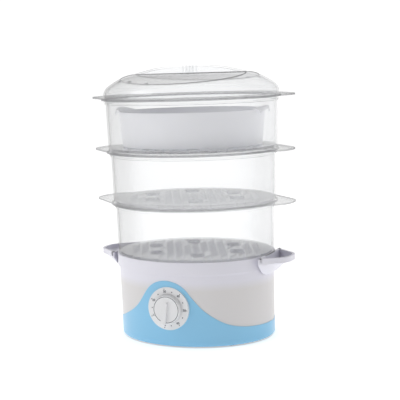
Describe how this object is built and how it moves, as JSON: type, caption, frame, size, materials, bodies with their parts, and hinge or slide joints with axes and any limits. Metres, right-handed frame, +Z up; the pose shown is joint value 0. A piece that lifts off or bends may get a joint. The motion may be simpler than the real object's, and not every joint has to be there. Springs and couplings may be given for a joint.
{
  "type": "electric food steamer",
  "caption": "Oval electric food steamer: water base with a timer dial and end pockets, stacked clear baskets, rice bowl and domed clear lid that lift off.",
  "frame": {"origin": "middle of the base at the surface it stands on", "axes": "+Z up, +X along the long side, -Y towards the side with the timer dial"},
  "size_m": [0.3216, 0.238, 0.4],
  "materials": {
    "clear_plastic": "clear polycarbonate, polished",
    "bowl_plastic": "translucent milky polypropylene",
    "milky_plastic": "milky white plastic, semi-gloss",
    "blue_plastic": "light blue plastic, semi-gloss",
    "white_plastic": "white plastic, semi-gloss",
    "mark_ink": "printed grey",
    "grey_plastic": "moulded grey plastic",
    "black_plastic": "moulded black plastic",
    "rubber": "matt rubber",
    "seal_rubber": "silicone rubber",
    "steel": "bright zinc-plated steel",
    "stainless": "brushed stainless steel",
    "brass": "machined brass",
    "wire_cover": "insulated wire"
  },
  "bodies": {
    "base": {"water_tank": "milky_plastic", "lower_skirt": "blue_plastic", "bottom_cover": "grey_plastic", "rubber_feet": "rubber", "cover_screws": "steel", "heater_plate": "stainless", "heater_seal": "seal_rubber", "heater_clamp": "steel", "heater_screws": "steel", "heating_element": "stainless", "thermostat": "black_plastic", "thermal_fuse": "steel", "dial_bezel": "white_plastic", "dial_marks": "mark_ink", "timer_plate": "steel", "timer_case": "steel", "timer_screws": "steel", "timer_switch": "black_plastic", "timer_bell": "steel", "cord_gland": "black_plastic", "terminal_block": "black_plastic", "inner_wires": "wire_cover"},
    "timer": {"timer_knob": "white_plastic", "timer_shaft": "brass", "timer_cam": "black_plastic", "spring_barrel": "brass"},
    "steam_ring": {"steam_ring": "milky_plastic"},
    "drip_tray": {"drip_tray": "grey_plastic"},
    "basket_bottom": {"basket_bottom": "clear_plastic"},
    "basket_middle": {"basket_middle": "clear_plastic"},
    "basket_top": {"basket_top": "clear_plastic"},
    "rice_bowl": {"rice_bowl": "bowl_plastic"},
    "lid": {"lid": "clear_plastic"}
  },
  "joints": [
    {"name": "timer_turn", "type": "hinge", "parent": "base", "child": "timer", "pos_m": [-0.004, -0.0995, 0.0574], "axis": [0, 1, 0], "range_deg": [0, 312]},
    {"name": "steam_ring_lift", "type": "slide", "parent": "base", "child": "steam_ring", "axis": [0, 0, 1], "range_m": [0, 0.09]},
    {"name": "drip_tray_lift", "type": "slide", "parent": "steam_ring", "child": "drip_tray", "axis": [0, 0, 1], "range_m": [0, 0.05]},
    {"name": "basket_bottom_lift", "type": "slide", "parent": "drip_tray", "child": "basket_bottom", "axis": [0, 0, 1], "range_m": [0, 0.06]},
    {"name": "basket_middle_lift", "type": "slide", "parent": "basket_bottom", "child": "basket_middle", "axis": [0, 0, 1], "range_m": [0, 0.06]},
    {"name": "basket_top_lift", "type": "slide", "parent": "basket_middle", "child": "basket_top", "axis": [0, 0, 1], "range_m": [0, 0.06]},
    {"name": "rice_bowl_lift", "type": "slide", "parent": "basket_top", "child": "rice_bowl", "axis": [0, 0, 1], "range_m": [0, 0.09]},
    {"name": "lid_lift", "type": "slide", "parent": "rice_bowl", "child": "lid", "axis": [0, 0, 1], "range_m": [0, 0.08]}
  ]
}
